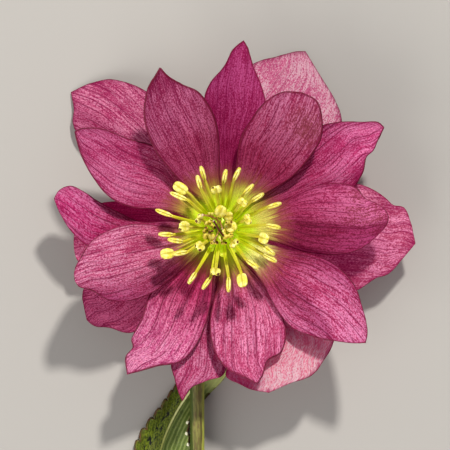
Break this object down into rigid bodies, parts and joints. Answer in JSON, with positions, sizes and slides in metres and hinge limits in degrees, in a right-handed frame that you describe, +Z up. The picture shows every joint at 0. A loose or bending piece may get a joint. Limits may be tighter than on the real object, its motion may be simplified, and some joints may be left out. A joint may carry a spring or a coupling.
{
  "type": "cut hellebore flower",
  "caption": "Open double hellebore flower in veined rose purple, with stamens round the pistil, a cut stem and a toothed bract, lying face up.",
  "frame": {"origin": "on the surface that the flower lies on, under the middle of its box", "axes": "+Z up out of the open flower's face; +Y from the cut end of the stem towards the flower; +X to the right"},
  "size_m": [0.0723, 0.1354, 0.0272],
  "materials": {
    "sepal": "satin, veined rose purple",
    "pale_sepal": "satin, veined paler pink",
    "stamen": "matt lemon yellow to yellow green",
    "pistil": "satin brownish pink and green",
    "stem": "satin green with purple brown streaks",
    "bract": "satin dark green"
  },
  "bodies": {
    "root": {"sepal_top_left_front": "sepal", "sepal_top_middle": "sepal", "sepal_top_right_front": "sepal", "sepal_top_right_back": "pale_sepal", "sepal_right_upper": "sepal", "sepal_right_front": "sepal", "sepal_right_back": "pale_sepal", "sepal_lower_right_front": "sepal", "sepal_bottom_front": "sepal", "sepal_bottom_right_back": "pale_sepal", "sepal_lower_left_front": "sepal", "sepal_bottom_left_back": "sepal", "sepal_left_front": "sepal", "sepal_lower_left_back": "pale_sepal", "sepal_left_upper": "sepal", "sepal_left_back": "pale_sepal", "sepal_upper_left_front": "sepal", "sepal_top_left_back": "pale_sepal", "stamens": "stamen", "pistil": "pistil", "stem": "stem", "bract": "bract"}
  },
  "joints": []
}
